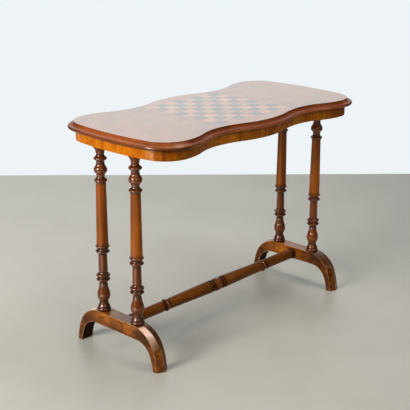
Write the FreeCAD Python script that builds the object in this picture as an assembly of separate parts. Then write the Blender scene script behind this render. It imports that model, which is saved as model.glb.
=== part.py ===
import FreeCAD, Part
import os
from math import acos, asin, atan2, cos, degrees, hypot, pi, radians, sin

# Occasional table with an inlaid chess board in its serpentine top.
# Millimetres. X runs along the length, Y from front to back, Z up from the floor.
# The origin is on the floor under the middle of the top.

# Whole table
table_length = 972.0
table_width = 480.0
table_height = 710.0

# Top and its outline
top_thickness = 21.5
veneer_thickness = 1.0
corner_radius = 88.0
end_bow = 10.0
centre_dip = 3.5
waist_dip = 36.0
waist_place = 198.5

# Edge moulding: a step, a cove, a flat and a round nose
moulding_width = 18.5
moulding_step = 1.2
edge_cove_width = 12.3
edge_cove_height = 9.9
edge_cove_bow_share = 0.12

# Chess board: the margin runs from the board to the edge moulding at the waist
board_margin = 21.5
squares_per_side = 8

# Frieze under the top
frieze_depth = 35.5
frieze_setback = 5.0
rail_thickness = 20.0
frieze_veneer_turn = 22.0
block_length = 60.0
block_depth = 22.0
block_height = 25.0
block_end_inset = 179.5
blocks_per_rail = 3

# Screws that hold the end bearers to the top
screw_radius = 2.2
screw_head_radius = 4.5
screw_head_height = 3.0
screw_bite = 10.0
screw_end_inset = 70.0
screws_per_bearer = 3
screw_inset = 22.0
screw_gap = 0.2

# Columns, places and tenons
column_inset = 32.5
column_spread = 151.0
tenon_radius = 10.0
head_tenon_length = 25.0
foot_tenon_length = 28.0

# Columns, radii of the turning
column_ring_radius = 21.6
head_ring_radius = 20.2
column_fillet_radius = 17.5
column_neck_radius = 12.8
bell_radius = 19.5
foot_neck_radius = 14.2
vase_neck_radius = 13.7
thin_neck_foot_radius = 14.2
thin_neck_head_radius = 13.3
column_vase_radius = 20.6
shaft_foot_radius = 18.4
shaft_head_radius = 15.4
shaft_bead_radius = 16.8
collar_radius = 21.5
collar_foot_radius = 20.0

# Columns, heights of the turning from the foot up to the shaft
foot_ring_height = 10.0
foot_bell_height = 17.5
vase_lower_height = 22.3
vase_upper_height = 36.7
long_cove_height = 13.3
ring_height = 8.5
lower_groove_height = 4.8
cove_height = 9.8
thin_neck_height = 50.5
upper_groove_height = 7.7

# Columns, heights of the turning from the shaft up to the head
shaft_bead_height = 3.0
bulb_lower_height = 17.4
bulb_upper_height = 22.1
head_cove_height = 12.5
flared_cove_height = 17.0
collar_height = 5.0

# How far a hollow of the turning is bowed, as a share of its chord
cove_bow_share = 0.2
flared_bow_share = 0.08

# Arched feet
arch_thickness = 44.0
arch_height = 124.5
arch_rail_depth = 42.5
seat_margin = 1.8
ridge_run = 10.5
ridge_upper_radius = 102.0
ridge_start_turn = 10.5
edge_upper_radius = 96.0
edge_start_turn = 8.0
gap_run = 5.0
leg_depth = 35.0
leg_change_turn = 70.0
leg_lower_radius = 230.0
stretcher_drop = 3.0

# Stretcher, lengths from its ends to its middle
stretcher_tenon_radius = 9.0
stretcher_tenon_length = 22.0
end_collar_width = 8.0
end_cove_width = 5.0
stretcher_ring_inset = 172.0
stretcher_ring_width = 8.5
flare_width = 16.0
shoulder_width = 3.0
middle_groove_width = 4.0
astragal_width = 6.0
middle_bead_width = 38.0

# Stretcher, radii of the turning
end_collar_radius = 19.4
stretcher_end_radius = 17.0
flare_start_radius = 17.7
flare_end_radius = 18.6
stretcher_ring_radius = 20.2
swell_start_radius = 17.3
swell_end_radius = 21.0
middle_groove_radius = 18.2
astragal_radius = 20.8
middle_bead_radius = 22.2

# Fits and cuts
glue_gap = 0.2
overrun = 5.0

# Levels and places that several pieces share
frieze_top = table_height - top_thickness
frieze_bottom = frieze_top - frieze_depth
ground_top = table_height - veneer_thickness
flat_half_length = table_length / 2 - moulding_width
flat_half_width = table_width / 2 - moulding_width
corner_place = flat_half_length - end_bow - corner_radius
rail_face = -(frieze_setback + veneer_thickness + glue_gap)
rail_back = rail_face - rail_thickness
column_x = flat_half_length - column_inset
column_y = column_spread / 2
arch_underside = arch_height - arch_rail_depth
stretcher_level = arch_height - arch_rail_depth / 2 - stretcher_drop
board_half = flat_half_width - waist_dip - board_margin
square_size = board_half * 2 / squares_per_side

origin = FreeCAD.Vector(0, 0, 0)
along_x = FreeCAD.Vector(1, 0, 0)
along_y = FreeCAD.Vector(0, 1, 0)
along_z = FreeCAD.Vector(0, 0, 1)


# Shared helpers
def point(x, y, z):
    return FreeCAD.Vector(x, y, z)


def box(x_low, x_high, y_low, y_high, z_low, z_high):
    corner = point(x_low, y_low, z_low)
    return Part.makeBox(x_high - x_low, y_high - y_low, z_high - z_low, corner)


def line(start, end):
    return Part.LineSegment(start, end).toShape()


def arc(start, middle, end):
    return Part.Arc(start, middle, end).toShape()


def turned_half(shape):
    return shape.rotated(origin, along_z, degrees(pi))


def joined(solids):
    return solids[0].fuse(solids[1:]).removeSplitter()


def even_places(last, count):
    # Places spread evenly from -last to last.
    return [last * (2 * number / (count - 1) - 1) for number in range(count)]


def save(name, shape):
    shape.exportStep(os.path.join("parts", name + ".step"))


# Outline of the top
def quarter_arcs():
    # Arcs of the quarter with x and y positive, from the middle of the long side to the end:
    # centre x, centre y, radius, first angle, last angle, and 1 for an outward or -1 for an inward bow.
    waist_level = flat_half_width - waist_dip
    centre_level = flat_half_width - centre_dip
    inner_rise = centre_level - waist_level
    inner_radius = (waist_place**2 + inner_rise**2) / inner_rise / 4
    inner_turn = asin(waist_place / inner_radius / 2)
    outer_run = corner_place - waist_place
    outer_radius = (outer_run**2 + waist_dip**2) / waist_dip / 4
    outer_turn = asin(outer_run / outer_radius / 2)
    corner_level = flat_half_width - corner_radius
    end_run = end_bow + corner_radius
    end_radius = (end_run**2 + corner_level**2 - corner_radius**2) / end_bow / 2
    end_centre = flat_half_length - end_radius
    corner_turn = atan2(corner_level, corner_place - end_centre)
    up = pi / 2
    down = -pi / 2
    return [
        (0, centre_level - inner_radius, inner_radius, up, up - inner_turn, 1),
        (waist_place, waist_level + inner_radius, inner_radius, down - inner_turn, down, -1),
        (waist_place, waist_level + outer_radius, outer_radius, down, down + outer_turn, -1),
        (corner_place, flat_half_width - outer_radius, outer_radius, up + outer_turn, up, 1),
        (corner_place, corner_level, corner_radius, up, corner_turn, 1),
        (end_centre, 0, end_radius, corner_turn, 0, 1),
    ]


def outline_edges(offset, level):
    edges = []
    for x, y, radius, first, last, bow in quarter_arcs():
        reach = radius + bow * offset
        for side_x in (1, -1):
            for side_y in (1, -1):
                ends = []
                for angle in (first, (first + last) / 2, last):
                    across = x + reach * cos(angle)
                    ahead = y + reach * sin(angle)
                    ends.append(point(side_x * across, side_y * ahead, level))
                edges.append(arc(ends[0], ends[1], ends[2]))
    return edges


def outline_slab(offset, bottom, top):
    wire = Part.Wire(Part.__sortEdges__(outline_edges(offset, bottom)))
    return Part.Face(wire).extrude(point(0, 0, top - bottom))


def outline_band(outer, inner, bottom, top):
    outside = outline_slab(outer, bottom, top)
    inside = outline_slab(inner, bottom - overrun, top + overrun)
    return outside.cut(inside)


def region(x_low, x_high, y_low, y_high):
    # A block over the whole height of the table, to keep one stretch of an outline.
    return box(x_low, x_high, y_low, y_high, -overrun, table_height + overrun)


far_x = table_length / 2 + overrun
far_y = table_width / 2 + overrun


# Top surface
def ground_board():
    board = outline_slab(-glue_gap, frieze_top, ground_top)
    for screw in screw_places():
        board = board.cut(screw_shape(screw, screw_gap))
    return board


def field_leaf(side_x, side_y):
    slab = outline_slab(-glue_gap, ground_top, table_height)
    hole = region(-board_half, board_half, -board_half, board_half)
    x_low, x_high = sorted((0, side_x * far_x))
    y_low, y_high = sorted((0, side_y * far_y))
    return slab.common(region(x_low, x_high, y_low, y_high)).cut(hole)


def board_squares(parity):
    squares = []
    for column in range(squares_per_side):
        for row in range(squares_per_side):
            if (column + row) % 2 == parity:
                left = column * square_size - board_half
                front = row * square_size - board_half
                right = left + square_size
                back = front + square_size
                squares.append(box(left, right, front, back, ground_top, table_height))
    return Part.makeCompound(squares)


# Edge moulding
def moulding_profile(radius, bow, level):
    # Face of the moulding's section, standing over the X axis at the arc's radius.
    def place(out, drop):
        return point(radius + bow * out, 0, level - drop)

    cove_foot = moulding_step + edge_cove_height
    nose_radius = (top_thickness - cove_foot) / 2
    nose_root = moulding_width - nose_radius
    chord = hypot(edge_cove_width, edge_cove_height)
    hollow = edge_cove_bow_share * chord
    hollow_out = edge_cove_width / 2 - hollow * edge_cove_height / chord
    hollow_drop = moulding_step + edge_cove_height / 2 + hollow * edge_cove_width / chord
    inner_top = place(0, moulding_step)
    cove_end = place(edge_cove_width, cove_foot)
    nose_start = place(nose_root, cove_foot)
    nose_tip = place(moulding_width, cove_foot + nose_radius)
    nose_end = place(nose_root, top_thickness)
    inner_foot = place(0, top_thickness)
    edges = [
        arc(inner_top, place(hollow_out, hollow_drop), cove_end),
        line(cove_end, nose_start),
        arc(nose_start, nose_tip, nose_end),
        line(nose_end, inner_foot),
        line(inner_foot, inner_top),
    ]
    return Part.Face(Part.Wire(edges))


def moulding_stretch(number, side_x, side_y):
    x, y, radius, first, last, bow = quarter_arcs()[number]
    face = moulding_profile(radius, bow, table_height)
    face.rotate(origin, along_z, degrees(first))
    face.translate(point(x, y, 0))
    solid = face.revolve(point(x, y, 0), along_z, degrees(last - first))
    if side_x < 0:
        solid = solid.mirror(origin, along_x)
    if side_y < 0:
        solid = solid.mirror(origin, along_y)
    return solid


def short_front_moulding():
    return joined([moulding_stretch(number, -1, -1) for number in (1, 2, 3)])


def long_front_moulding():
    stretches = [moulding_stretch(0, -1, -1)]
    stretches += [moulding_stretch(number, 1, -1) for number in (0, 1, 2, 3)]
    return joined(stretches)


def end_moulding(side_x):
    stretches = [moulding_stretch(number, side_x, -1) for number in (4, 5)]
    stretches += [moulding_stretch(number, side_x, 1) for number in (5, 4)]
    return joined(stretches)


# Frieze
def frieze_rail():
    band = outline_band(rail_face, rail_back, frieze_bottom, frieze_top)
    return band.common(region(-corner_place, corner_place, -far_y, 0))


def end_bearer():
    slab = outline_slab(rail_face, frieze_bottom, frieze_top)
    bearer = slab.common(region(corner_place, far_x, -far_y, far_y))
    for side_y in (1, -1):
        socket = tenon_socket(head_tenon_length)
        socket.translate(point(column_x, side_y * column_y, frieze_bottom))
        bearer = bearer.cut(socket)
    for screw in screw_places():
        bearer = bearer.cut(screw_shape(screw, screw_gap))
    return bearer


def frieze_veneer_place():
    turn = radians(frieze_veneer_turn)
    return corner_place + (corner_radius - frieze_setback) * sin(turn)


def front_frieze_veneer():
    band = outline_band(-frieze_setback, -frieze_setback - veneer_thickness, frieze_bottom, frieze_top)
    joint = frieze_veneer_place()
    return band.common(region(-joint, joint, -far_y, 0))


def end_frieze_veneer():
    band = outline_band(-frieze_setback, -frieze_setback - veneer_thickness, frieze_bottom, frieze_top)
    return band.common(region(frieze_veneer_place(), far_x, -far_y, far_y))


def glue_blocks():
    outer = rail_back - glue_gap
    band = outline_band(outer, outer - block_depth, frieze_top - block_height, frieze_top)
    blocks = []
    for place in even_places(corner_place - block_end_inset, blocks_per_rail):
        left = place - block_length / 2
        right = place + block_length / 2
        block = band.common(region(left, right, -far_y, 0))
        blocks += block.Solids
        blocks += turned_half(block).Solids
    return Part.makeCompound(blocks)


# Screws
def screw_places():
    places = []
    span = flat_half_width + rail_face - screw_end_inset
    for side_x in (1, -1):
        for along in even_places(span, screws_per_bearer):
            places.append(point(side_x * (corner_place + screw_inset), along, frieze_bottom))
    return places


def screw_shape(place, gap):
    # A countersunk screw with its head level with the underside of the bearer.
    head_radius = screw_head_radius + gap
    shank_radius = screw_radius + gap
    reach = frieze_depth + screw_bite + gap
    head = Part.makeCone(head_radius, shank_radius, screw_head_height, place, along_z)
    shank = Part.makeCylinder(shank_radius, reach, place, along_z)
    return head.fuse(shank).removeSplitter()


def bearer_screws():
    return Part.makeCompound([screw_shape(place, 0) for place in screw_places()])


# Turned work: a profile is a run of edges in the XZ plane, x being the radius
def ogee(start, end):
    # Two arcs in one another's line, each parallel to the axis at its outer end.
    rise = end.z - start.z
    spread = end.x - start.x
    middle = (start + end) / 2
    turn = atan2(abs(spread), abs(rise))
    radius = hypot(rise, spread) ** 2 / abs(spread) / 4
    out = radius * (1 - cos(turn)) * spread / abs(spread)
    up = radius * sin(turn) * rise / abs(rise)
    step = point(out, 0, up)
    return [arc(start, start + step, middle), arc(middle, end - step, end)]


def cove(start, end, bow_share=cove_bow_share):
    # A hollow whose bow leans towards the axis.
    chord = end - start
    lean = point(-abs(chord.z), 0, chord.x * abs(chord.z) / chord.z)
    return [arc(start, (start + end) / 2 + lean * bow_share, end)]


def ring(start, end, radius):
    return [arc(start, point(radius, 0, (start.z + end.z) / 2), end)]


def turned_solid(edges):
    first = edges[0].Vertexes[0].Point
    last = edges[-1].Vertexes[-1].Point
    axis_first = point(0, 0, first.z)
    axis_last = point(0, 0, last.z)
    closing = [line(last, axis_last), line(axis_last, axis_first), line(axis_first, first)]
    face = Part.Face(Part.Wire(edges + closing))
    return face.revolve(origin, along_z, degrees(2 * pi))


def tenon_socket(length):
    return Part.makeCylinder(tenon_radius + glue_gap, length + glue_gap, origin, along_z)


# Columns
def column_foot_profile():
    # From the seat on the arched foot up to the start of the shaft.
    heights = [0]
    for step in (
        foot_ring_height, foot_bell_height, vase_lower_height, vase_upper_height, long_cove_height,
        ring_height, lower_groove_height, ring_height, cove_height, thin_neck_height, cove_height,
        ring_height, upper_groove_height, ring_height,
    ):
        heights.append(heights[-1] + step)
    fillet = column_fillet_radius
    radii = (
        fillet, bell_radius, foot_neck_radius, column_vase_radius, vase_neck_radius, fillet, fillet, fillet,
        fillet, thin_neck_foot_radius, thin_neck_head_radius, fillet, fillet, fillet, fillet,
    )
    stations = [point(radius, 0, height) for radius, height in zip(radii, heights)]
    edges = ring(stations[0], stations[1], column_ring_radius)
    edges += ogee(stations[1], stations[2])
    edges += ogee(stations[2], stations[3])
    edges += ogee(stations[3], stations[4])
    edges += cove(stations[4], stations[5])
    edges += ring(stations[5], stations[6], column_ring_radius)
    edges += cove(stations[6], stations[7])
    edges += ring(stations[7], stations[8], column_ring_radius)
    edges += cove(stations[8], stations[9])
    edges.append(line(stations[9], stations[10]))
    edges += cove(stations[10], stations[11])
    edges += ring(stations[11], stations[12], column_ring_radius)
    edges += cove(stations[12], stations[13])
    edges += ring(stations[13], stations[14], column_ring_radius)
    return edges, stations[14]


def column_head_profile(top):
    # From the end of the shaft up to the collar under the frieze.
    steps = (
        shaft_bead_height, ring_height, cove_height, bulb_lower_height, bulb_upper_height, cove_height,
        ring_height, head_cove_height, flared_cove_height, collar_height,
    )
    heights = [top - sum(steps)]
    for step in steps:
        heights.append(heights[-1] + step)
    fillet = column_fillet_radius
    neck = column_neck_radius
    radii = (
        shaft_head_radius, shaft_head_radius, fillet, neck, column_vase_radius, neck, fillet, fillet,
        neck, collar_foot_radius, collar_foot_radius,
    )
    stations = [point(radius, 0, height) for radius, height in zip(radii, heights)]
    ring_foot = point(fillet, 0, stations[1].z)
    edges = ring(stations[0], stations[1], shaft_bead_radius)
    edges.append(line(stations[1], ring_foot))
    edges += ring(ring_foot, stations[2], head_ring_radius)
    edges += cove(stations[2], stations[3])
    edges += ogee(stations[3], stations[4])
    edges += ogee(stations[4], stations[5])
    edges += cove(stations[5], stations[6])
    edges += ring(stations[6], stations[7], head_ring_radius)
    edges += cove(stations[7], stations[8])
    edges += cove(stations[8], stations[9], flared_bow_share)
    edges += ring(stations[9], stations[10], collar_radius)
    return edges, stations[0]


def column(side_x, side_y):
    height = frieze_bottom - arch_height
    foot_edges, foot_end = column_foot_profile()
    head_edges, head_start = column_head_profile(height)
    shaft_foot = point(shaft_foot_radius, 0, foot_end.z)
    shaft = [line(foot_end, shaft_foot), line(shaft_foot, head_start)]
    body = turned_solid(foot_edges + shaft + head_edges)
    foot_tenon = Part.makeCylinder(tenon_radius, foot_tenon_length, origin, -along_z)
    head_tenon = Part.makeCylinder(tenon_radius, head_tenon_length, point(0, 0, height), along_z)
    solid = joined([body, foot_tenon, head_tenon])
    solid.translate(point(side_x * column_x, side_y * column_y, arch_height))
    return solid


# Arched feet
def leg_points(start, level, upper_radius, start_turn):
    # Two arcs in one another's line that lead from a level line down past the floor:
    # first point, middle and end of the upper arc, middle and end of the lower arc.
    first = radians(start_turn)
    change = radians(leg_change_turn)

    def upper(turn):
        out = start + upper_radius * (sin(turn) - sin(first))
        return out, level - upper_radius * (cos(first) - cos(turn))

    change_out, change_level = upper(change)
    centre_out = change_out - leg_lower_radius * sin(change)
    centre_level = change_level - leg_lower_radius * cos(change)
    last = acos((-overrun - centre_level) / leg_lower_radius)

    def lower(turn):
        return centre_out + leg_lower_radius * sin(turn), centre_level + leg_lower_radius * cos(turn)

    upper_middle = upper((first + change) / 2)
    lower_middle = lower((change + last) / 2)
    return [upper(first), upper_middle, (change_out, change_level), lower_middle, lower(last)]


def arch_section(x, outer, inner):
    def place(side, pair):
        return point(x, side * pair[0], pair[1])

    crest = (outer[0][0], outer[0][1] + overrun)
    edges = [line(place(-1, crest), place(1, crest)), line(place(1, crest), place(1, outer[0]))]
    edges.append(arc(place(1, outer[0]), place(1, outer[1]), place(1, outer[2])))
    edges.append(arc(place(1, outer[2]), place(1, outer[3]), place(1, outer[4])))
    edges.append(line(place(1, outer[4]), place(1, inner[4])))
    edges.append(arc(place(1, inner[4]), place(1, inner[3]), place(1, inner[2])))
    edges.append(arc(place(1, inner[2]), place(1, inner[1]), place(1, inner[0])))
    edges.append(line(place(1, inner[0]), place(-1, inner[0])))
    edges.append(arc(place(-1, inner[0]), place(-1, inner[1]), place(-1, inner[2])))
    edges.append(arc(place(-1, inner[2]), place(-1, inner[3]), place(-1, inner[4])))
    edges.append(line(place(-1, inner[4]), place(-1, outer[4])))
    edges.append(arc(place(-1, outer[4]), place(-1, outer[3]), place(-1, outer[2])))
    edges.append(arc(place(-1, outer[2]), place(-1, outer[1]), place(-1, outer[0])))
    edges.append(line(place(-1, outer[0]), place(-1, crest)))
    return Part.Wire(edges)


def arch_foot():
    ridge_start = column_y + column_ring_radius + seat_margin
    edge_start = ridge_start - ridge_run
    gap_radius = edge_upper_radius - leg_depth
    ridge = leg_points(ridge_start, arch_height, ridge_upper_radius, ridge_start_turn)
    edge = leg_points(edge_start, arch_height, edge_upper_radius, edge_start_turn)
    gap = leg_points(edge_start + gap_run, arch_underside, gap_radius, 0)
    half = arch_thickness / 2
    sections = [
        arch_section(column_x - half, edge, gap),
        arch_section(column_x, ridge, gap),
        arch_section(column_x + half, edge, gap),
    ]
    # The sections run past the seats and the floor, and are cut level there.
    near = column_x - half - overrun
    far = column_x + half + overrun
    reach = ridge[-1][0] + overrun
    solid = Part.makeLoft(sections, True, True).common(box(near, far, -reach, reach, 0, arch_height))
    for side_y in (1, -1):
        socket = tenon_socket(foot_tenon_length)
        socket.rotate(origin, along_x, degrees(pi))
        socket.translate(point(column_x, side_y * column_y, arch_height))
        solid = solid.cut(socket)
    hole_radius = stretcher_tenon_radius + glue_gap
    hole_length = stretcher_tenon_length + glue_gap
    hole_start = point(column_x - half, 0, stretcher_level)
    return solid.cut(Part.makeCylinder(hole_radius, hole_length, hole_start, along_x))


# Stretcher
def stretcher_half():
    # Turned about Z with its middle at the origin, then laid along X.
    end = column_x - arch_thickness / 2
    bead_end = middle_bead_width / 2
    astragal_start = bead_end + middle_groove_width
    astragal_end = astragal_start + astragal_width
    shoulder = astragal_end + middle_groove_width
    swell_end = shoulder + shoulder_width
    ring_start = end - stretcher_ring_inset - stretcher_ring_width / 2
    ring_end = ring_start + stretcher_ring_width
    flare_end = ring_end + flare_width
    collar_start = end - end_collar_width
    cove_start = collar_start - end_cove_width
    groove = middle_groove_radius
    middle = point(middle_bead_radius, 0, 0)
    sag = middle_bead_radius - groove
    bead_curve = (bead_end**2 + sag**2) / sag / 2
    half_turn = asin(bead_end / bead_curve) / 2
    bead_lift = bead_curve * (1 - cos(half_turn))
    bead_middle = point(middle_bead_radius - bead_lift, 0, bead_curve * sin(half_turn))
    edges = [arc(middle, bead_middle, point(groove, 0, bead_end))]
    edges.append(line(point(groove, 0, bead_end), point(groove, 0, astragal_start)))
    edges += ring(point(groove, 0, astragal_start), point(groove, 0, astragal_end), astragal_radius)
    edges.append(line(point(groove, 0, astragal_end), point(groove, 0, shoulder)))
    edges.append(line(point(groove, 0, shoulder), point(swell_end_radius, 0, swell_end)))
    edges.append(line(point(swell_end_radius, 0, swell_end), point(swell_start_radius, 0, ring_start)))
    edges += ring(
        point(swell_start_radius, 0, ring_start), point(swell_start_radius, 0, ring_end), stretcher_ring_radius
    )
    edges.append(line(point(swell_start_radius, 0, ring_end), point(flare_end_radius, 0, ring_end)))
    edges += cove(point(flare_end_radius, 0, ring_end), point(flare_start_radius, 0, flare_end))
    edges.append(line(point(flare_start_radius, 0, flare_end), point(stretcher_end_radius, 0, cove_start)))
    edges += cove(point(stretcher_end_radius, 0, cove_start), point(flare_start_radius, 0, collar_start))
    edges += ring(point(flare_start_radius, 0, collar_start), point(flare_start_radius, 0, end), end_collar_radius)
    body = turned_solid(edges)
    tenon = Part.makeCylinder(stretcher_tenon_radius, stretcher_tenon_length, point(0, 0, end), along_z)
    return joined([body, tenon])


def stretcher():
    half = stretcher_half()
    half.rotate(origin, along_y, degrees(pi / 2))
    solid = joined([half, half.mirror(origin, along_x)])
    solid.translate(point(0, 0, stretcher_level))
    return solid


# Write every piece
os.makedirs("parts", exist_ok=True)
save("top_ground_board", ground_board())
save("field_veneer_front_left", field_leaf(-1, -1))
save("field_veneer_front_right", field_leaf(1, -1))
save("field_veneer_back_left", field_leaf(-1, 1))
save("field_veneer_back_right", field_leaf(1, 1))
save("chess_squares_dark", board_squares(0))
save("chess_squares_light", board_squares(1))
save("edge_moulding_front_left", short_front_moulding())
save("edge_moulding_front_right", long_front_moulding())
save("edge_moulding_back_right", turned_half(short_front_moulding()))
save("edge_moulding_back_left", turned_half(long_front_moulding()))
save("edge_moulding_left_end", end_moulding(-1))
save("edge_moulding_right_end", end_moulding(1))
save("frieze_rail_front", frieze_rail())
save("frieze_rail_back", turned_half(frieze_rail()))
save("end_bearer_right", end_bearer())
save("end_bearer_left", turned_half(end_bearer()))
save("frieze_veneer_front", front_frieze_veneer())
save("frieze_veneer_back", turned_half(front_frieze_veneer()))
save("frieze_veneer_right", end_frieze_veneer())
save("frieze_veneer_left", turned_half(end_frieze_veneer()))
save("glue_blocks", glue_blocks())
save("bearer_screws", bearer_screws())
save("column_front_left", column(-1, -1))
save("column_front_right", column(1, -1))
save("column_back_left", column(-1, 1))
save("column_back_right", column(1, 1))
save("arch_foot_right", arch_foot())
save("arch_foot_left", turned_half(arch_foot()))
save("stretcher", stretcher())
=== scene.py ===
import math

import bpy
from mathutils import Matrix, Quaternion, Vector


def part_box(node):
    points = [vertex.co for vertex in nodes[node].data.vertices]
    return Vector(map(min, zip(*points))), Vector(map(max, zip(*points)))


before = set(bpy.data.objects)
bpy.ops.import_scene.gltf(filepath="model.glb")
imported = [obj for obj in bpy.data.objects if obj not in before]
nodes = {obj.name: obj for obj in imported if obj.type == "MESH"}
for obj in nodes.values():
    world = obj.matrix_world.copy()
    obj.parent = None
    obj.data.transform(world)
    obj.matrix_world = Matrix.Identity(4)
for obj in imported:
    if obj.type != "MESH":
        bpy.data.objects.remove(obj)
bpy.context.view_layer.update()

scene = bpy.context.scene
scene.view_settings.view_transform = "Standard"

# Camera, fitted to the photograph: its place in metres, its focal length in pixels of the square image
IMAGE_SIDE = 410
FOCAL_PIXELS = 1016.4
SENSOR_WIDTH = 36.0
VIEW_YAW = math.radians(47.328)
VIEW_PITCH = math.radians(17.995)
VIEW_ROLL = math.radians(0.324)
VIEW_PLACE = Vector((-2.3683, -2.1319, 1.4168))
VIEW_FORWARD = Vector((math.sin(VIEW_YAW), math.cos(VIEW_YAW), 0.0))
VIEW_RIGHT = Vector((math.cos(VIEW_YAW), -math.sin(VIEW_YAW), 0.0))

# Floor, in metres: it ends where the photograph's wall begins, a little askew to the view
WALL_DISTANCE = 4.852
WALL_SLANT = 0.0346
FLOOR_HALF_WIDTH = 9.0
FLOOR_NEAR = -12.0

# Names and counts that repeat
QUARTERS = ("front_left", "front_right", "back_left", "back_right")
SQUARES_PER_SIDE = 8

# Spans over which a look changes, in metres from the middle of the table or from the floor
LEFT_TO_RIGHT = (-0.4, 0.4)
FRONT_TO_BACK = (-0.02, 0.02)
LEFT_FOOT_OUTER_SIDE = (-0.435, -0.438)
MOULDING_DARK_CORNER = (0.1, 0.15)
MOULDING_DULL_CORNER = (0.17, 0.19)
FRIEZE_CORNER = (0.13, 0.19)
FRIEZE_SHEEN_START = (0.125, 0.147)
FRIEZE_SHEEN_END = (0.166, 0.156)
FRIEZE_TOP_SHADOW = (0.6815, 0.6775)

# Reach of the painted shade in hollows, and of the worn edges with their painted highlight, in metres
HOLLOW_SHADE_REACH = 0.014
EDGE_WEAR_AND_HIGHLIGHT_REACH = 0.004

# Tones along the parts, as stops of place in metres and tone. Some stops are painted shade, in the grooves
# of the turned parts and in the moulding's step and under its round nose, and the long moulding's nose has a
# painted highlight; the other stops darken or lighten stretches of a part. On the columns and the moulding a
# place is a height. Elsewhere it is the distance from the table's middle: along the table on the stretcher
# and the front frieze, and across it on the feet and the end frieze.
# The darkest stops, in the grooves beside the rings, are painted shade
COLUMN_TONES = (
    (0.120, 0.25), (0.130, 0.35), (0.136, 0.15),  # foot ring
    (0.146, 0.3), (0.153, 0.2),  # bell
    (0.168, 0.45), (0.200, 0.45), (0.221, 0.18),  # lower vase
    (0.228, 0.4), (0.235, 0.1), (0.242, 0.4), (0.250, 0.2),  # two rings
    (0.258, 0.48), (0.304, 0.48), (0.314, 0.18),  # thin neck
    (0.320, 0.42), (0.3285, 0.1), (0.337, 0.5),  # two rings
    (0.343, 0.55), (0.350, 1.0), (0.533, 1.0),  # shaft
    (0.540, 0.36), (0.5465, 0.52), (0.5555, 0.24),  # ring
    (0.566, 0.54), (0.590, 0.54), (0.603, 0.24),  # small vase
    (0.6145, 0.52), (0.624, 0.3),  # ring
    (0.640, 0.5), (0.655, 0.42),  # flared collar
)
# The darkest stops, in the grooves beside the beads and the ring, are painted shade
STRETCHER_TONES = (
    (0.0, 1.3), (0.012, 1.1), (0.0175, 0.25), (0.0215, 0.15),  # wide bead
    (0.026, 0.6), (0.0305, 0.15), (0.034, 0.35),  # narrow bead
    (0.038, 1.0), (0.225, 1.0), (0.235, 0.5),  # inner length
    (0.238, 0.8), (0.244, 0.8), (0.2465, 0.2), (0.251, 0.25), (0.258, 0.6),  # ring and flare
    (0.27, 1.0), (0.395, 0.9),  # outer length
    (0.402, 0.25), (0.413, 0.3),  # end collar
)
# Painted highlight on the lower round nose, and painted shade under the nose and in the step
LONG_MOULDING_TONES = (
    (0.6885, 0.5), (0.6905, 0.8), (0.6930, 1.3), (0.6955, 1.2), (0.6975, 0.8),  # round nose
    (0.7000, 0.62), (0.7060, 0.65), (0.7080, 0.45), (0.7095, 0.3),  # cove and step
)
# Painted shade under the round nose and in the step
END_MOULDING_TONES = (
    (0.6885, 0.12), (0.6920, 0.2), (0.6945, 0.4), (0.6965, 0.62), (0.6985, 0.75),  # round nose
    (0.7000, 0.85), (0.7060, 0.9), (0.7080, 0.65), (0.7095, 0.4),  # cove and step
)
FRONT_FRIEZE_TONES = ((0.0, 1.6), (0.14, 1.6), (0.34, 1.05), (0.46, 1.0))
END_FRIEZE_TONES = (
    (0.0, 1.0), (0.168, 1.0), (0.178, 0.6), (0.184, 0.5),  # end, and the turn of the corner
    (0.186, 0.32), (0.190, 0.5), (0.198, 0.75), (0.215, 0.75),  # dark line, and the rest of the corner
)
FOOT_TONES = (
    (0.0, 1.05), (0.05, 1.1), (0.085, 0.8),  # rail under the columns
    (0.115, 0.6), (0.145, 0.6), (0.170, 0.85), (0.190, 0.8),  # leg
)

# Weights of the clear coat, with stops of the same places
COLUMN_COAT = (
    (0.120, 0.76), (0.250, 0.76),  # foot ring to lower rings
    (0.258, 0.43), (0.304, 0.43),  # thin neck
    (0.314, 0.76), (0.338, 0.76),  # upper rings
    (0.346, 0.11), (0.534, 0.11),  # shaft
    (0.542, 0.88), (0.618, 0.88),  # small vase and its rings
    (0.626, 0.33), (0.655, 0.33),  # flared collar
)
STRETCHER_COAT = (
    (0.0, 0.43), (0.013, 0.23), (0.018, 0.03), (0.022, 0.03),  # wide bead
    (0.026, 0.88), (0.030, 0.03), (0.034, 0.06),  # narrow bead
    (0.234, 0.06), (0.238, 0.88), (0.244, 0.88),  # ring
    (0.248, 0.06), (0.413, 0.06),  # outer length
)
LONG_MOULDING_COAT = (
    (0.6885, 0.06), (0.6910, 0.54), (0.6960, 0.88), (0.6980, 0.43),  # round nose
    (0.7000, 0.0), (0.7095, 0.0),  # cove and step
)
END_MOULDING_COAT = (
    (0.6885, 0.0), (0.6930, 0.88), (0.6985, 0.88),  # round nose
    (0.7000, 0.14), (0.7095, 0.14),  # cove and step
)

# Share of the painted highlight down the legs, with stops of the distance from the table's long middle line
LEG_HIGHLIGHT_SHARES = ((0.09, 0.0), (0.0964, 1.0), (0.126, 0.85), (0.146, 0.4), (0.17, 0.0))

# Glossy finish of the veneers on the top
TOP_FINISH = {"coat": 1.0, "shine": 1.0, "coat_roughness": 0.05, "coat_ior": 2.0, "bump_depth": 0.00005}


# Camera
def view_axes():
    flat = math.cos(VIEW_PITCH)
    ahead = Vector((math.sin(VIEW_YAW) * flat, math.cos(VIEW_YAW) * flat, -math.sin(VIEW_PITCH)))
    up = VIEW_RIGHT.cross(ahead)
    turned_right = VIEW_RIGHT * math.cos(VIEW_ROLL) + up * math.sin(VIEW_ROLL)
    turned_up = up * math.cos(VIEW_ROLL) - VIEW_RIGHT * math.sin(VIEW_ROLL)
    return turned_right, turned_up, ahead


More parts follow.
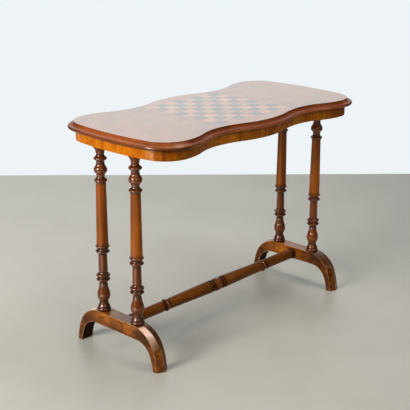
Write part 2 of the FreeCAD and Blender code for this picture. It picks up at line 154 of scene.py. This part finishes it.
def make_camera():
    right, up, ahead = view_axes()
    data = bpy.data.cameras.new("camera")
    data.sensor_width = SENSOR_WIDTH
    data.lens = SENSOR_WIDTH * FOCAL_PIXELS / IMAGE_SIDE
    camera = bpy.data.objects.new("camera", data)
    turn = Matrix((right, up, -ahead)).transposed().to_4x4()
    camera.matrix_world = Matrix.Translation(VIEW_PLACE) @ turn
    scene.collection.objects.link(camera)
    scene.camera = camera


# Node trees
class Tree:
    """A node tree built with short calls. A value is a number, a vector, a colour or a node's output."""

    def __init__(self, owner):
        owner.use_nodes = True
        self.tree = owner.node_tree
        self.tree.nodes.clear()

    def add(self, kind, inputs=None, **settings):
        node = self.tree.nodes.new("ShaderNode" + kind)
        for name, value in settings.items():
            setattr(node, name, value)
        for name, value in (inputs or {}).items():
            if isinstance(value, bpy.types.NodeSocket):
                self.tree.links.new(value, node.inputs[name])
            else:
                node.inputs[name].default_value = value
        return node

    def place(self):
        return self.add("TexCoord").outputs["Object"]

    def normal(self):
        return self.add("NewGeometry").outputs["Normal"]

    def mapped(self, vector, scale, turn=0.0):
        inputs = {"Vector": vector, "Scale": scale, "Rotation": (0.0, 0.0, turn)}
        return self.add("Mapping", inputs).outputs[0]

    def noise(self, vector, scale, detail, rough=0.5, swirl=0.0):
        inputs = {
            "Vector": vector, "Scale": scale, "Detail": detail, "Roughness": rough, "Distortion": swirl,
        }
        return self.add("TexNoise", inputs).outputs[0]

    def ramp(self, factor, spots, colours):
        node = self.add("ValToRGB", {"Fac": factor})
        elements = node.color_ramp.elements
        while len(elements) < len(spots):
            elements.new(0.5)
        for element, spot, colour in zip(elements, spots, colours):
            element.position = spot
            element.color = (*colour, 1.0)
        return node.outputs[0]

    def levels(self, value, span, to=(0.0, 1.0)):
        """Maps a span of the value to another one. Values outside the span get its ends."""
        inputs = {
            "Value": value, "From Min": span[0], "From Max": span[1], "To Min": to[0], "To Max": to[1],
        }
        return self.add("MapRange", inputs).outputs[0]

    def math(self, operation, first, second=0.0):
        return self.add("Math", {0: first, 1: second}, operation=operation).outputs[0]

    def choose(self, factor, first, second):
        return self.add("Mix", {0: factor, 2: first, 3: second}, data_type="FLOAT").outputs[0]

    def blend(self, factor, first, second, mode="MIX"):
        colours = [(*value, 1.0) if isinstance(value, tuple) else value for value in (first, second)]
        inputs = {0: factor, 6: colours[0], 7: colours[1]}
        return self.add("Mix", inputs, data_type="RGBA", blend_type=mode).outputs[2]

    def shade(self, colour, factor):
        return self.blend(1.0, colour, self.combine(factor, factor, factor), "MULTIPLY")

    def split(self, vector):
        return self.add("SeparateXYZ", {0: vector}).outputs

    def combine(self, x, y, z):
        return self.add("CombineXYZ", {0: x, 1: y, 2: z}).outputs[0]

    def dot(self, first, second):
        return self.add("VectorMath", {0: first, 1: second}, operation="DOT_PRODUCT").outputs["Value"]

    def surface(self, inputs):
        shader = self.add("BsdfPrincipled", inputs)
        self.add("OutputMaterial", {"Surface": shader.outputs[0]})


def new_material(name):
    material = bpy.data.materials.new(name)
    return material, Tree(material)


# Patterns that several woods share
def along(axis, stretch):
    """A scale that draws a pattern out along one axis."""
    return tuple(stretch if letter == axis else 1.0 for letter in "XYZ")


def grain(tree, place, axis, stretch=0.07, swirl=0.6):
    """Streaks that run along an axis: broad growth bands and finer lines, each from 0 to 1."""
    line_stretch = stretch * 0.5
    line_swirl = swirl * 0.4
    broad = tree.mapped(place, along(axis, stretch))
    fine = tree.mapped(place, along(axis, line_stretch))
    bands = tree.noise(broad, scale=42.0, detail=3.0, rough=0.55, swirl=swirl)
    lines = tree.noise(fine, scale=190.0, detail=4.0, rough=0.6, swirl=line_swirl)
    return bands, lines


def distance(tree, place, axis):
    """Distance from the middle of the table along X or Y, or the height along Z."""
    return tree.math("ABSOLUTE", tree.split(place)[axis])


def stepped(tree, spot, stops, powers=(1.0, 1.0, 1.0)):
    """A colour by place, from stops of place and level. The powers bring a level to red, green and blue."""
    places, levels = zip(*stops)
    first, last = places[0], places[-1]
    spots = [(place - first) / (last - first) for place in places]
    colours = [tuple(level**power for power in powers) for level in levels]
    return tree.ramp(tree.levels(spot, (first, last)), spots, colours)


def stepped_value(tree, spot, stops):
    return tree.add("RGBToBW", {0: stepped(tree, spot, stops)}).outputs[0]


def toned(tree, colour, spot, stops):
    """Tone by place: the darker, the redder."""
    return tree.blend(1.0, colour, stepped(tree, spot, stops, (1.0, 1.25, 1.5)), "MULTIPLY")


def finish_wood(
    tree, colour, roughness, bump, coat, shine=0.3, coat_roughness=0.1, coat_ior=1.5, bump_depth=0.0004
):
    """Joins the patterns to a wood shader, under a clear coat."""
    relief = tree.add("Bump", {"Height": bump, "Distance": bump_depth, "Strength": 0.35})
    inputs = {
        "Base Color": colour,
        "Roughness": roughness,
        "Normal": relief.outputs[0],
        "Specular IOR Level": shine,
        "Specular Tint": (1.0, 0.6, 0.3, 1.0),
        "Coat Weight": coat,
        "Coat Roughness": coat_roughness,
        "Coat IOR": coat_ior,
    }
    tree.surface(inputs)


class SolidWood:
    """Polished wood with its grain along an axis, with painted shade in its hollows."""

    def __init__(self, name, axis, shades, cloud_depth=0.3, hollow_shade_tone=0.35):
        pore_stretch = 0.028
        cloud_stretch = 0.5
        cloud_height = cloud_depth * 0.45
        self.material, self.tree = new_material(name)
        tree = self.tree
        self.place = tree.place()
        bands, self.lines = grain(tree, self.place, axis)
        pores = tree.noise(tree.mapped(self.place, along(axis, pore_stretch)), scale=900.0, detail=2.0)
        broad = tree.mapped(self.place, along(axis, cloud_stretch))
        clouds = tree.noise(broad, scale=11.0, detail=3.0, rough=0.6, swirl=0.8)
        cloud_tones = (1.0 - cloud_depth, 1.0 + cloud_height)
        # Painted shade: hollows and creases are darkened by how enclosed they are
        hollow_shading = tree.add("AmbientOcclusion", {"Distance": HOLLOW_SHADE_REACH}, samples=12).outputs["AO"]
        self.pores = tree.levels(pores, (0.3, 0.45), (0.75, 1.0))
        self.colour = tree.ramp(bands, (0.28, 0.5, 0.74), shades)
        self.shade(tree.levels(self.lines, (0.35, 0.62), (0.8, 1.06)))
        self.shade(tree.levels(clouds, (0.3, 0.7), cloud_tones))
        self.shade(self.pores)
        self.shade(tree.levels(hollow_shading, (0.35, 0.9), (hollow_shade_tone, 1.0)))

    def shade(self, factor):
        self.colour = self.tree.shade(self.colour, factor)

    def shade_along(self, axis, span, tones):
        self.shade(self.tree.levels(self.tree.split(self.place)[axis], span, tones))

    def tone(self, axis, stops):
        self.colour = toned(self.tree, self.colour, distance(self.tree, self.place, axis), stops)

    def coat(self, axis, stops):
        return stepped_value(self.tree, distance(self.tree, self.place, axis), stops)

    def finish(self, coat, **polish):
        pore_share = 0.6
        roughness = self.tree.levels(self.lines, (0.3, 0.7), (0.42, 0.3))
        bump = self.tree.math("ADD", self.lines, self.tree.math("MULTIPLY", self.pores, pore_share))
        finish_wood(self.tree, self.colour, roughness, bump, coat, **polish)
        return self.material


# Materials of the stand
def column_wood():
    """Turned wood with dark rings, painted shade on the back columns and painted light on the right ones."""
    shades = ((0.17, 0.038, 0.002), (0.28, 0.068, 0.004), (0.37, 0.098, 0.007))
    wood = SolidWood("turned_walnut_upright", "Z", shades, hollow_shade_tone=0.62)
    wood.tone("Z", COLUMN_TONES)
    # Painted shade darkens the back columns, and painted light brightens the columns on the right
    back_shade_tone = wood.tree.levels(wood.tree.split(wood.place)["X"], LEFT_TO_RIGHT, (0.88, 0.68))
    wood.shade_along("Y", FRONT_TO_BACK, (1.0, back_shade_tone))
    wood.shade_along("X", LEFT_TO_RIGHT, (0.84, 1.3))
    return wood.finish(wood.coat("Z", COLUMN_COAT))


def stretcher_wood():
    """Turned wood with painted shade in its grooves and painted light brightening it towards the right."""
    shades = ((0.1, 0.028, 0.004), (0.155, 0.046, 0.006), (0.21, 0.068, 0.012))
    wood = SolidWood("turned_walnut_level", "X", shades)
    wood.tone("X", STRETCHER_TONES)
    # Painted light: brighter towards the right
    wood.shade_along("X", LEFT_TO_RIGHT, (1.0, 1.35))
    return wood.finish(wood.coat("X", STRETCHER_COAT), shine=0.05)


def inner_side(tree, place):
    """1 on the faces of an arched foot that look into the arch, 0 on the others."""
    y, z = tree.split(place)[1:]
    outward = tree.dot(tree.combine(0.0, y, z), tree.normal())
    return tree.levels(outward, (0.0, -0.03))


def painted_leg_highlight(tree, colour, place):
    """Painted highlight on the outer, upward facet of the left foot's legs, from the columns downwards."""
    pale = (0.98, 0.62, 0.48)
    x = tree.split(place)["X"]
    normal = tree.split(tree.normal())
    outer = tree.levels(x, LEFT_FOOT_OUTER_SIDE)
    sloped = tree.levels(tree.math("ABSOLUTE", normal["Y"]), (0.2, 0.28))
    outward = tree.levels(tree.math("MULTIPLY", x, normal["X"]), (0.03, 0.04))
    upward = tree.levels(normal["Z"], (0.3, 0.4))
    share = stepped_value(tree, distance(tree, place, "Y"), LEG_HIGHLIGHT_SHARES)
    patchy = tree.noise(place, scale=60.0, detail=3.0, rough=0.6)
    amount = tree.levels(patchy, (0.3, 0.6), (0.65, 1.0))
    for part in (outer, sloped, outward, upward, share):
        amount = tree.math("MULTIPLY", amount, part)
    return tree.blend(amount, colour, pale)


def worn_edges_and_highlight(tree, colour, place):
    """Pale lines along the edges: partly worn polish, partly a painted highlight of the edge catching light.
    """
    pale = (0.5, 0.26, 0.1)
    eased = tree.add("Bevel", {"Radius": EDGE_WEAR_AND_HIGHLIGHT_REACH}, samples=8).outputs[0]
    rubbed = tree.levels(tree.dot(eased, tree.normal()), (0.998, 0.955), (0.0, 0.6))
    patchy = tree.levels(tree.noise(place, scale=38.0, detail=3.0), (0.36, 0.56), (0.15, 1.0))
    return tree.blend(tree.math("MULTIPLY", rubbed, patchy), colour, pale)


def foot_wood():
    """Mottled wood, dull inside the arch and darkened there by painted shade, with painted light on its back
    half, worn edges with a painted highlight, and a painted highlight down the left foot's legs.
    """
    shades = ((0.06, 0.014, 0.001), (0.14, 0.038, 0.002), (0.215, 0.067, 0.004))
    outer_coat, inner_coat = 0.65, 0.05
    outer_shine, inner_shine = 0.3, 0.02
    wood = SolidWood("foot_walnut", "Y", shades, cloud_depth=0.7)
    tree = wood.tree
    wood.tone("Y", FOOT_TONES)
    # Painted light: the back half of each foot is lighter
    wood.shade_along("Y", FRONT_TO_BACK, (1.0, 1.4))
    drawn_out = tree.mapped(wood.place, along("Y", 0.7))
    mottle = tree.noise(drawn_out, scale=34.0, detail=3.0, rough=0.55, swirl=1.5)
    wood.shade(tree.levels(mottle, (0.36, 0.62), (0.6, 1.25)))
    inner = inner_side(tree, wood.place)
    # Painted shade inside the arch
    wood.shade(tree.levels(inner, (0.0, 1.0), (1.0, 0.2)))
    # Painted highlight down the outer facet of the left foot's legs
    wood.colour = painted_leg_highlight(tree, wood.colour, wood.place)
    # Pale worn edges, partly a painted highlight
    wood.colour = worn_edges_and_highlight(tree, wood.colour, wood.place)
    upward = tree.levels(tree.split(tree.normal())["Z"], (0.5, 0.9), (0.45, 1.0))
    coat = tree.math("MULTIPLY", tree.levels(inner, (0.0, 1.0), (outer_coat, inner_coat)), upward)
    shine = tree.levels(inner, (0.0, 1.0), (outer_shine, inner_shine))
    return wood.finish(coat, shine=shine, coat_roughness=0.22)


# Materials of the top and the frieze
def long_moulding_wood():
    shades = ((0.18, 0.036, 0.006), (0.25, 0.055, 0.01), (0.32, 0.08, 0.018))
    wood = SolidWood("moulding_walnut_long", "X", shades)
    wood.tone("Z", LONG_MOULDING_TONES)
    return wood.finish(wood.coat("Z", LONG_MOULDING_COAT), shine=0.12)


def end_moulding_wood():
    """Wood of the moulding at the ends, darker and duller towards the corners."""
    shades = ((0.25, 0.055, 0.01), (0.34, 0.085, 0.016), (0.43, 0.125, 0.028))
    wood = SolidWood("moulding_walnut_end", "Y", shades)
    tree = wood.tree
    across = distance(tree, wood.place, "Y")
    wood.tone("Z", END_MOULDING_TONES)
    wood.shade(tree.levels(across, MOULDING_DARK_CORNER, (1.0, 0.72)))
    dulled = tree.levels(across, MOULDING_DULL_CORNER, (1.0, 0.25))
    return wood.finish(tree.math("MULTIPLY", wood.coat("Z", END_MOULDING_COAT), dulled))


def field_veneer():
    """Quartered veneer: the figure of one leaf is mirrored about both middle lines of the top."""
    shades = ((0.17, 0.045, 0.01), (0.27, 0.08, 0.016), (0.34, 0.11, 0.024), (0.42, 0.16, 0.04))
    slant = 0.45
    drift_reach = 0.12
    material, tree = new_material("field_walnut")
    x, y, z = tree.split(tree.place())
    leaf = tree.combine(tree.math("ABSOLUTE", x), tree.math("ABSOLUTE", y), z)
    sway = tree.noise(leaf, scale=5.0, detail=3.0, rough=0.55, swirl=1.5)
    drift = tree.math("MULTIPLY", sway, drift_reach)
    shift = tree.combine(drift, drift, 0.0)
    swept = tree.add("VectorMath", {0: leaf, 1: shift}, operation="ADD").outputs[0]
    broad = tree.mapped(swept, (9.0, 26.0, 9.0), slant)
    narrow = tree.mapped(swept, (60.0, 210.0, 60.0), slant)
    figure = tree.noise(broad, scale=1.0, detail=5.0, rough=0.6, swirl=1.2)
    fine = tree.noise(narrow, scale=1.0, detail=4.0, rough=0.6, swirl=0.4)
    clouds = tree.noise(leaf, scale=7.5, detail=4.0, rough=0.6, swirl=0.9)
    colour = tree.ramp(figure, (0.26, 0.45, 0.6, 0.78), shades)
    colour = tree.shade(colour, tree.levels(fine, (0.32, 0.65), (0.85, 1.06)))
    colour = tree.shade(colour, tree.levels(clouds, (0.3, 0.7), (0.62, 1.25)))
    roughness = tree.levels(fine, (0.3, 0.7), (0.22, 0.14))
    finish_wood(tree, colour, roughness, fine, **TOP_FINISH)
    return material


def square_veneer(name, shades, size):
    """Veneer of the board's squares, its grain along the table. Every square has its own tone and figure."""
    figure_shift = 0.7
    material, tree = new_material(name)
    x, y = tree.split(tree.place())[:2]
    column = tree.math("FLOOR", tree.math("DIVIDE", x, size))
    row = tree.math("FLOOR", tree.math("DIVIDE", y, size))
    square = tree.combine(column, row, 0.0)
    tone = tree.add("TexWhiteNoise", {"Vector": square}, noise_dimensions="3D").outputs["Value"]
    leaf = tree.combine(x, y, tree.math("MULTIPLY", tone, figure_shift))
    lines = tree.noise(tree.mapped(leaf, along("X", 0.09)), scale=230.0, detail=4.0, rough=0.6, swirl=0.5)
    bands = tree.noise(tree.mapped(leaf, along("X", 0.12)), scale=46.0, detail=3.0, rough=0.55, swirl=0.7)
    colour = tree.ramp(bands, (0.28, 0.5, 0.75), shades)
    colour = tree.shade(colour, tree.levels(lines, (0.32, 0.65), (0.75, 1.1)))
    colour = tree.shade(colour, tree.levels(tone, (0.0, 1.0), (0.75, 1.2)))
    roughness = tree.levels(lines, (0.3, 0.7), (0.22, 0.14))
    finish_wood(tree, colour, roughness, lines, **TOP_FINISH)
    return material


def frieze_veneer(name, shades, streak_depths, tone_axis, tones, corner_sheen=None):
    """Figured veneer with its grain upright and a shadow under the top. The corners may have a sheen."""
    dull_coat = 0.06
    material, tree = new_material(name)
    place = tree.place()
    across = distance(tree, place, "Y")
    bands, lines = grain(tree, place, "Z", stretch=0.12, swirl=1.6)
    clouds = tree.noise(tree.mapped(place, along("Z", 0.6)), scale=13.0, detail=4.0, rough=0.62, swirl=1.2)
    mottle = tree.noise(tree.mapped(place, along("Z", 0.8)), scale=70.0, detail=4.0, rough=0.65, swirl=1.8)
    streak_depth = tree.levels(across, FRIEZE_CORNER, streak_depths)
    streaks = tree.math("MULTIPLY", streak_depth, tree.levels(bands, (0.6, 0.36)))
    colour = tree.ramp(clouds, (0.32, 0.5, 0.68), shades)
    colour = tree.shade(colour, tree.levels(mottle, (0.35, 0.65), (0.78, 1.15)))
    colour = tree.shade(colour, tree.math("SUBTRACT", 1.0, streaks))
    colour = toned(tree, colour, distance(tree, place, tone_axis), tones)
    colour = tree.shade(colour, tree.levels(tree.split(place)["Z"], FRIEZE_TOP_SHADOW, (0.65, 1.0)))
    coat = dull_coat
    if corner_sheen:
        started = tree.levels(across, FRIEZE_SHEEN_START)
        rubbed = tree.math("MULTIPLY", started, tree.levels(across, FRIEZE_SHEEN_END))
        coat = tree.levels(rubbed, (0.0, 1.0), (dull_coat, corner_sheen))
    roughness = tree.levels(mottle, (0.3, 0.7), (0.42, 0.3))
    bump = tree.math("ADD", lines, mottle)
    finish_wood(tree, colour, roughness, bump, coat, shine=0.12, coat_roughness=0.15, coat_ior=1.8)
    return material


# Materials of the hidden pieces
def plain_timber(name, axis):
    """Sawn timber without polish."""
    shades = ((0.2, 0.1, 0.045), (0.36, 0.21, 0.1), (0.5, 0.32, 0.17))
    material, tree = new_material(name)
    place = tree.place()
    bands, lines = grain(tree, place, axis, stretch=0.05, swirl=0.5)
    clouds = tree.noise(place, scale=9.0, detail=3.0)
    colour = tree.ramp(bands, (0.3, 0.52, 0.75), shades)
    colour = tree.shade(colour, tree.levels(lines, (0.32, 0.65), (0.7, 1.1)))
    colour = tree.shade(colour, tree.levels(clouds, (0.3, 0.7), (0.7, 1.15)))
    roughness = tree.levels(lines, (0.3, 0.7), (0.85, 0.62))
    finish_wood(tree, colour, roughness, lines, coat=0.0, bump_depth=0.0008)
    return material


def screw_iron():
    """Dull iron with fine scratches."""
    material, tree = new_material("screw_iron")
    place = tree.place()
    stain = tree.noise(place, scale=700.0, detail=4.0, rough=0.65)
    scratch = tree.noise(tree.mapped(place, along("Y", 12.0)), scale=900.0, detail=2.0)
    colour = tree.ramp(stain, (0.35, 0.6), ((0.09, 0.06, 0.045), (0.3, 0.29, 0.28)))
    roughness = tree.levels(scratch, (0.3, 0.7), (0.5, 0.3))
    relief = tree.add("Bump", {"Height": scratch, "Distance": 0.0001, "Strength": 0.3}).outputs[0]
    tree.surface({"Base Color": colour, "Metallic": 1.0, "Roughness": roughness, "Normal": relief})
    return material


# Materials on the pieces
def wear(material, *names):
    for name in names:
        slots = nodes[name].data.materials
        slots.clear()
        slots.append(material)


def quarters(name):
    return [name + "_" + quarter for quarter in QUARTERS]


def dress_stand():
    wear(column_wood(), *quarters("column"))
    wear(stretcher_wood(), "stretcher")
    wear(foot_wood(), "arch_foot_left", "arch_foot_right")


def dress_top():
    low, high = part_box("chess_squares_dark")
    size = (high.x - low.x) / SQUARES_PER_SIDE
    dark = ((0.03, 0.018, 0.012), (0.05, 0.032, 0.022), (0.078, 0.05, 0.034))
    light = ((0.35, 0.115, 0.03), (0.48, 0.185, 0.05), (0.58, 0.265, 0.09))
    wear(long_moulding_wood(), *quarters("edge_moulding"))
    wear(end_moulding_wood(), "edge_moulding_left_end", "edge_moulding_right_end")
    wear(field_veneer(), *quarters("field_veneer"))
    wear(square_veneer("square_dark", dark, size), "chess_squares_dark")
    wear(square_veneer("square_light", light, size), "chess_squares_light")


def dress_frieze():
    front_shades = ((0.17, 0.039, 0.002), (0.29, 0.078, 0.004), (0.38, 0.114, 0.005))
    end_shades = ((0.3, 0.064, 0.0), (0.4, 0.105, 0.0), (0.48, 0.15, 0.001))
    front_streaks = (0.3, 0.3)
    end_streaks = (0.15, 0.6)
    front = frieze_veneer("frieze_walnut_front", front_shades, front_streaks, "X", FRONT_FRIEZE_TONES)
    end = frieze_veneer(
        "frieze_walnut_end", end_shades, end_streaks, "Y", END_FRIEZE_TONES, corner_sheen=0.7
    )
    wear(front, "frieze_veneer_front", "frieze_veneer_back")
    wear(end, "frieze_veneer_left", "frieze_veneer_right")


def dress_hidden_pieces():
    long_timber = plain_timber("secondary_long", "X")
    wear(long_timber, "top_ground_board", "frieze_rail_front", "frieze_rail_back", "glue_blocks")
    wear(plain_timber("secondary_across", "Y"), "end_bearer_left", "end_bearer_right")
    wear(screw_iron(), "bearer_screws")


# Floor, background and light
def floor_material():
    """Pale grey, with painted light on the left of the view and painted shade towards the right."""
    material, tree = new_material("floor")
    place = tree.place()
    mottle = tree.noise(place, scale=3.0, detail=4.0, rough=0.6)
    colour = tree.ramp(mottle, (0.3, 0.7), ((0.415, 0.404, 0.358), (0.455, 0.444, 0.398)))
    # Painted light and shade: lighter towards the left of the view, darker towards the right
    colour = tree.shade(colour, tree.levels(tree.dot(place, VIEW_RIGHT), (-0.9, 1.1), (1.22, 0.76)))
    tree.surface({"Base Color": colour, "Roughness": 0.35, "Specular IOR Level": 0.55})
    return material


def make_floor():
    far = WALL_DISTANCE + VIEW_PLACE.dot(VIEW_FORWARD)
    lean = FLOOR_HALF_WIDTH * WALL_SLANT
    outline = (
        (far - lean, -FLOOR_HALF_WIDTH),
        (far + lean, FLOOR_HALF_WIDTH),
        (FLOOR_NEAR, FLOOR_HALF_WIDTH),
        (FLOOR_NEAR, -FLOOR_HALF_WIDTH),
    )
    corners = [VIEW_FORWARD * ahead + VIEW_RIGHT * side for ahead, side in outline]
    mesh = bpy.data.meshes.new("floor")
    mesh.from_pydata(corners, [], [(3, 2, 1, 0)])
    mesh.materials.append(floor_material())
    floor = bpy.data.objects.new("floor", mesh)
    scene.collection.objects.link(floor)


def make_world():
    """A pale wall that is seen and mirrored in the polish, and soft light that is stronger from the left."""
    room_glow = 0.04
    world = bpy.data.worlds.new("studio")
    scene.world = world
    tree = Tree(world)
    path = tree.add("LightPath").outputs
    direction = tree.add("TexCoord").outputs["Generated"]
    facing = tree.levels(tree.dot(direction, VIEW_FORWARD), (0.0, 0.3))
    leftward = tree.dot(direction, -VIEW_RIGHT)
    wall = tree.levels(tree.math("ABSOLUTE", leftward), (0.3, 0.6), (1.0, 0.0))
    wall = tree.math("MULTIPLY", wall, tree.levels(leftward, (-0.14, 0.04), (0.84, 1.0)))
    mirrored = tree.math("ADD", tree.math("MULTIPLY", wall, facing), room_glow)
    soft = tree.levels(leftward, (-0.7, 0.9), (0.11, 0.28))
    seen = tree.math("MAXIMUM", path["Is Camera Ray"], path["Is Transmission Ray"])
    strength = tree.choose(path["Is Glossy Ray"], soft, mirrored)
    strength = tree.choose(seen, strength, 1.0)
    shader = tree.add("Background", {"Color": (0.85, 0.9, 0.925, 1.0), "Strength": strength})
    tree.add("OutputWorld", {"Surface": shader.outputs[0]})


def make_lamp(name, place, target, size, power, colour=(1.0, 1.0, 1.0), turn=0.0):
    data = bpy.data.lights.new(name, "AREA")
    data.shape = "RECTANGLE"
    data.size, data.size_y = size
    data.energy = power
    data.color = colour
    lamp = bpy.data.objects.new(name, data)
    lamp.location = place
    aim = (Vector(target) - Vector(place)).to_track_quat("-Z", "Y")
    lamp.rotation_euler = (aim @ Quaternion((0.0, 0.0, 1.0), turn)).to_euler()
    lamp.visible_camera = False
    scene.collection.objects.link(lamp)


def make_lights():
    warm = (1.0, 0.95, 0.88)
    soft_warm = (1.0, 0.98, 0.95)
    make_lamp("key", (-8.29, 1.06, 3.75), (0.0, 0.0, 0.45), size=(3.0, 3.0), power=880.0, colour=warm)
    make_lamp(
        "overhead", (0.67, -0.43, 2.9), (0.67, -0.43, 0.0), size=(0.45, 2.9), power=44.0, colour=soft_warm,
        turn=-0.363,
    )
    make_lamp("fill", (-1.85, -2.93, 2.3), (0.0, 0.0, 0.4), size=(2.5, 2.5), power=32.0)
    make_lamp("right", (1.1, -3.3, 2.7), (0.0, 0.0, 0.6), size=(0.9, 0.9), power=7.0)
    make_lamp("sparkle", (-4.25, -0.7, 2.6), (0.0, 0.0, 0.45), size=(0.35, 0.35), power=28.0)
    make_lamp("low_strip", (-1.55, -0.12, 0.02), (-1.55, -0.12, 1.0), size=(1.3, 0.7), power=6.5)


make_camera()
dress_stand()
dress_top()
dress_frieze()
dress_hidden_pieces()
make_floor()
make_world()
make_lights()
